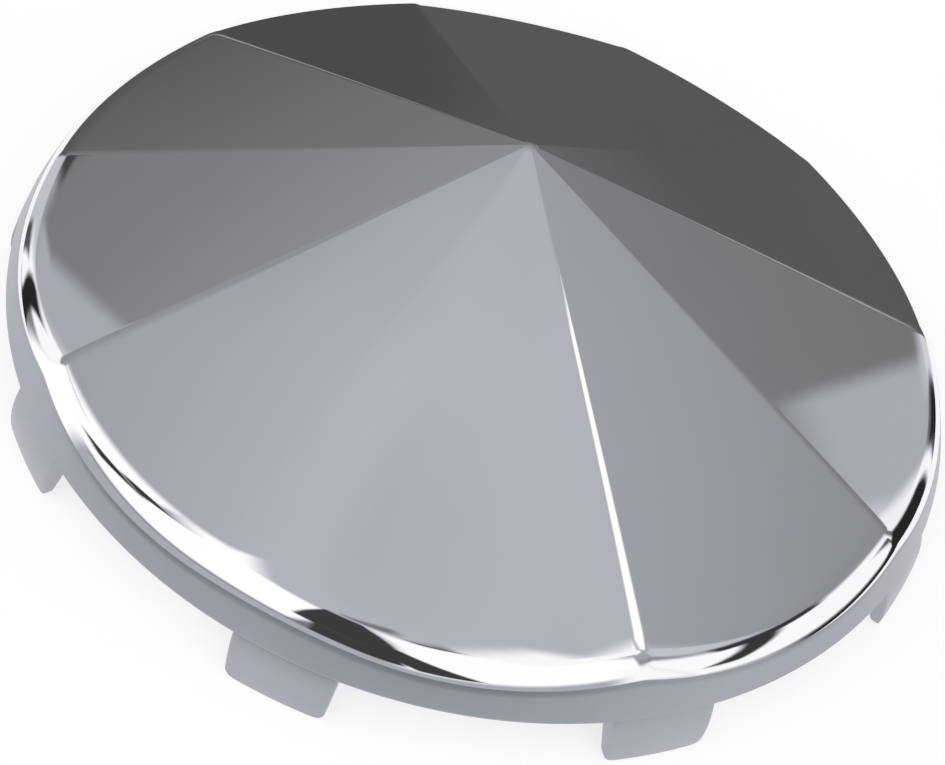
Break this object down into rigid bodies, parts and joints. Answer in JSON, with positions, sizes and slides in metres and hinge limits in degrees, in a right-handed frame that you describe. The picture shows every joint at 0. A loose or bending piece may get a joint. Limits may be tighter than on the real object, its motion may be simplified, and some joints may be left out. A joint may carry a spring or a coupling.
{
  "type": "hubcap",
  "caption": "Round chrome hubcap: shallow faceted pyramid face with crisp and soft ridges, rolled rim, short flared skirt and a ring of snap tabs under it.",
  "frame": {"origin": "centre of the circle that the tips of the tabs stand on", "axes": "+Z along the wheel's axis, out of the face; one crisp ridge points to -Y"},
  "size_m": [0.2176, 0.2214, 0.0482],
  "materials": {
    "chrome": "bright chrome plating, polished"
  },
  "bodies": {
    "root": {"hubcap": "chrome"}
  },
  "joints": []
}
